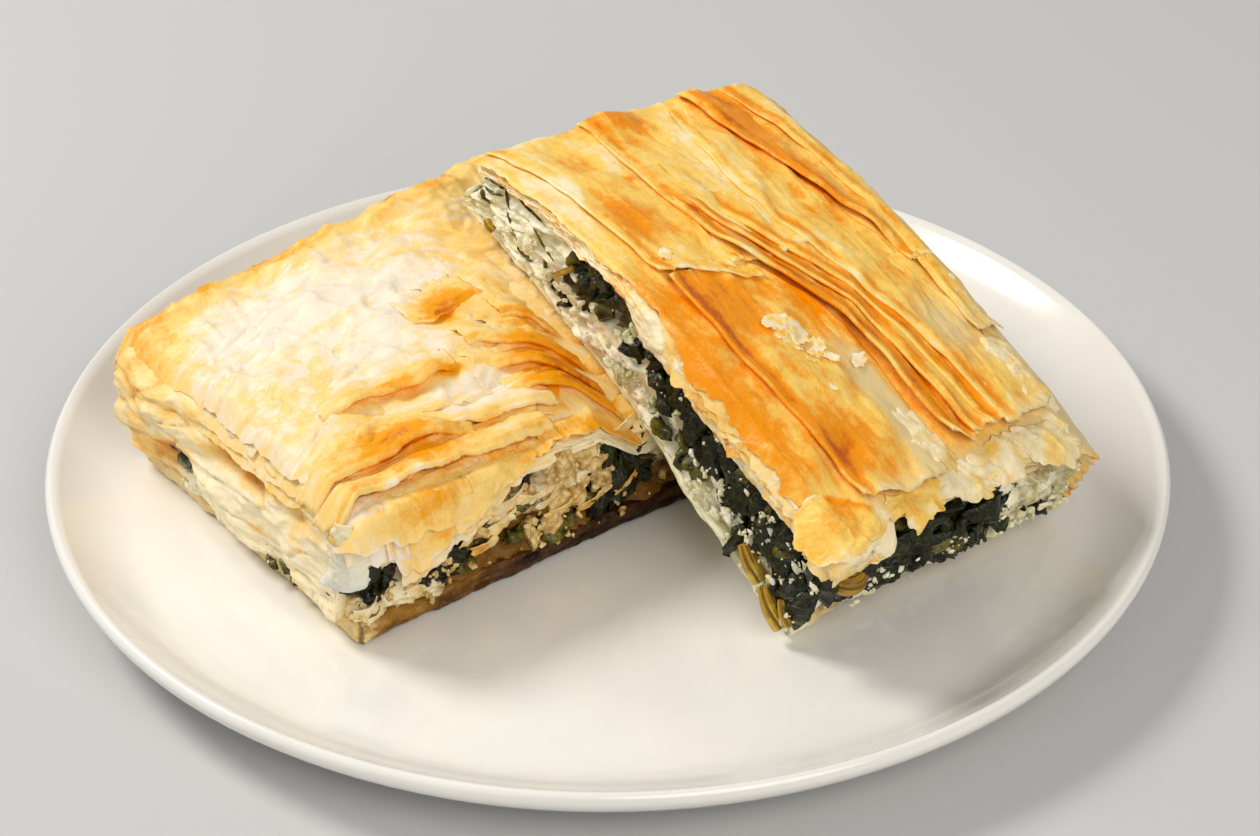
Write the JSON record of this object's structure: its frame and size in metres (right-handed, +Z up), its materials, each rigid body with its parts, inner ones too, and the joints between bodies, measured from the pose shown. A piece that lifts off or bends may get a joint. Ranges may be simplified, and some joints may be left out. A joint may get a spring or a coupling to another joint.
{
  "type": "plated spanakopita slices",
  "caption": "Cut slices of spinach and cheese pie in flaky pastry, one leaning on the other, on a plain round plate.",
  "frame": {"origin": "middle of the plate, on the surface that its foot ring stands on", "axes": "+Z up; -Y is the side that shows both cut faces; +X is towards the leaning slice"},
  "size_m": [0.22, 0.22, 0.0666],
  "materials": {
    "plate_glaze": "gloss",
    "flat_slice_base_pastry": "satin",
    "flat_slice_spinach_and_cheese": "satin",
    "flat_slice_flaky_pastry": "satin",
    "leaning_slice_base_pastry": "satin",
    "leaning_slice_spinach_and_cheese": "satin",
    "leaning_slice_flaky_pastry": "satin"
  },
  "bodies": {
    "root": {"plate": "plate_glaze", "flat_slice_bottom_crust": "flat_slice_base_pastry", "flat_slice_filling": "flat_slice_spinach_and_cheese", "flat_slice_top_crust": "flat_slice_flaky_pastry", "leaning_slice_bottom_crust": "leaning_slice_base_pastry", "leaning_slice_filling": "leaning_slice_spinach_and_cheese", "leaning_slice_top_crust": "leaning_slice_flaky_pastry"}
  },
  "joints": []
}
